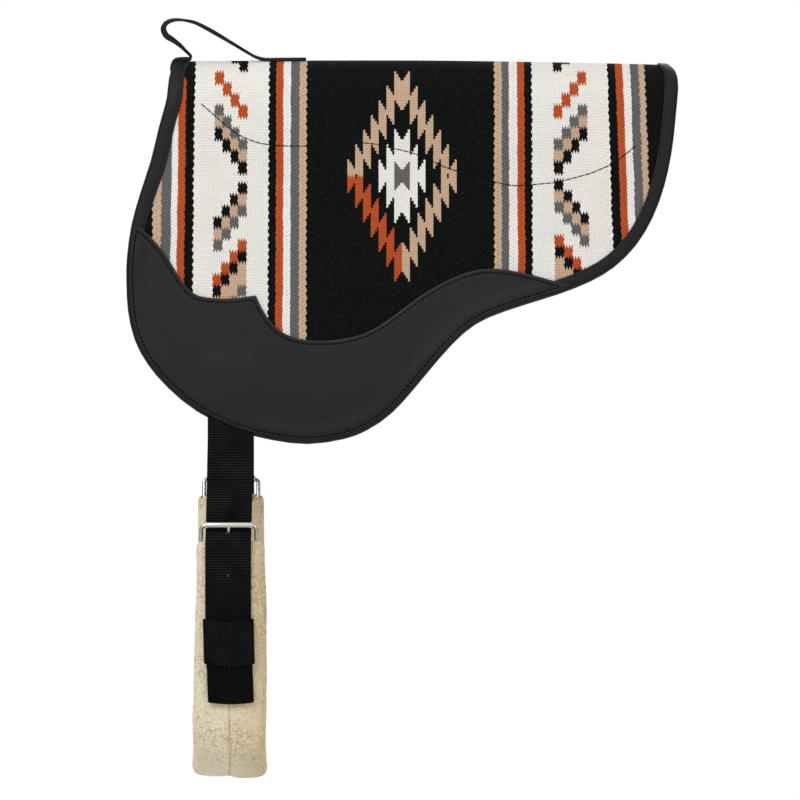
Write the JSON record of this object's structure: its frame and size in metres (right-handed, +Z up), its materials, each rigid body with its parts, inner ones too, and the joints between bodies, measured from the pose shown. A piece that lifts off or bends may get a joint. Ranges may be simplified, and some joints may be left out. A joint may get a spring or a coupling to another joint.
{
  "type": "bareback pad",
  "caption": "Folded woven riding pad with wear leathers, a hand strap, and hole-punched billets that buckle to a fleece-covered girth.",
  "frame": {"origin": "on the lining's underside, under the middle of the ridge, where the horse's back is", "axes": "+X to the rear along the ridge, +Y to the off side, -Y to the near side, +Z up"},
  "size_m": [0.611, 0.1454, 0.8414],
  "materials": {
    "woven_blanket": "tight wool weave with raised ribs, striped",
    "felt_core": "dense grey felt",
    "fleece_lining": "short cream fleece",
    "girth_fleece": "curly cream fleece",
    "edge_binding": "smooth black binding tape",
    "wear_leather": "smooth charcoal leather, satin",
    "webbing": "black ribbed webbing",
    "nickel": "bright nickel plate"
  },
  "bodies": {
    "pad": {"woven_blanket": "woven_blanket", "felt_core": "felt_core", "fleece_lining": "fleece_lining", "edge_binding": "edge_binding", "near_wear_leather": "wear_leather", "off_wear_leather": "wear_leather", "near_billet_root": "webbing", "off_billet_root": "webbing", "hand_strap": "webbing"},
    "near_hanger": {"near_billet": "webbing"},
    "off_hanger": {"off_billet": "webbing"},
    "girth": {"girth_core_web": "webbing", "girth_fleece": "girth_fleece", "near_billet_tail": "webbing", "off_billet_tail": "webbing", "near_buckle_frame": "nickel", "off_buckle_frame": "nickel", "near_keeper_loop": "webbing", "off_keeper_loop": "webbing"},
    "near_roller": {"near_buckle_roller": "nickel"},
    "off_roller": {"off_buckle_roller": "nickel"},
    "near_tongue": {"near_buckle_tongue": "nickel"},
    "off_tongue": {"off_buckle_tongue": "nickel"}
  },
  "joints": [
    {"name": "near_billet_swing", "type": "hinge", "parent": "pad", "child": "near_hanger", "pos_m": [-0.19032, -0.0516, -0.4013], "axis": [1, 0, 0], "range_deg": [-10, 10]},
    {"name": "off_billet_swing", "type": "hinge", "parent": "pad", "child": "off_hanger", "pos_m": [-0.19032, 0.0516, -0.4013], "axis": [1, 0, 0], "range_deg": [-21.7, 21.7]},
    {"name": "girth_swing", "type": "hinge", "parent": "near_hanger", "child": "girth", "pos_m": [-0.19032, -0.0516, -0.4956], "axis": [1, 0, 0], "range_deg": [-10, 10]},
    {"name": "near_roller_spin", "type": "hinge", "parent": "girth", "child": "near_roller", "pos_m": [-0.19032, -0.05735, -0.4956], "axis": [1, 0, 0], "continuous": true},
    {"name": "off_roller_spin", "type": "hinge", "parent": "girth", "child": "off_roller", "pos_m": [-0.19032, 0.05735, -0.4448], "axis": [1, 0, 0], "continuous": true},
    {"name": "near_tongue_lift", "type": "hinge", "parent": "girth", "child": "near_tongue", "pos_m": [-0.19032, -0.0479, -0.5276], "axis": [1, 0, 0], "range_deg": [0, 3]},
    {"name": "off_tongue_lift", "type": "hinge", "parent": "girth", "child": "off_tongue", "pos_m": [-0.19032, 0.0479, -0.4768], "axis": [-1, 0, 0], "range_deg": [0, 3]}
  ],
  "couplings": [
    {"joint": "girth_swing", "follows": "near_billet_swing", "ratio": -1},
    {"joint": "off_billet_swing", "follows": "near_billet_swing", "ratio": 2.1678}
  ]
}
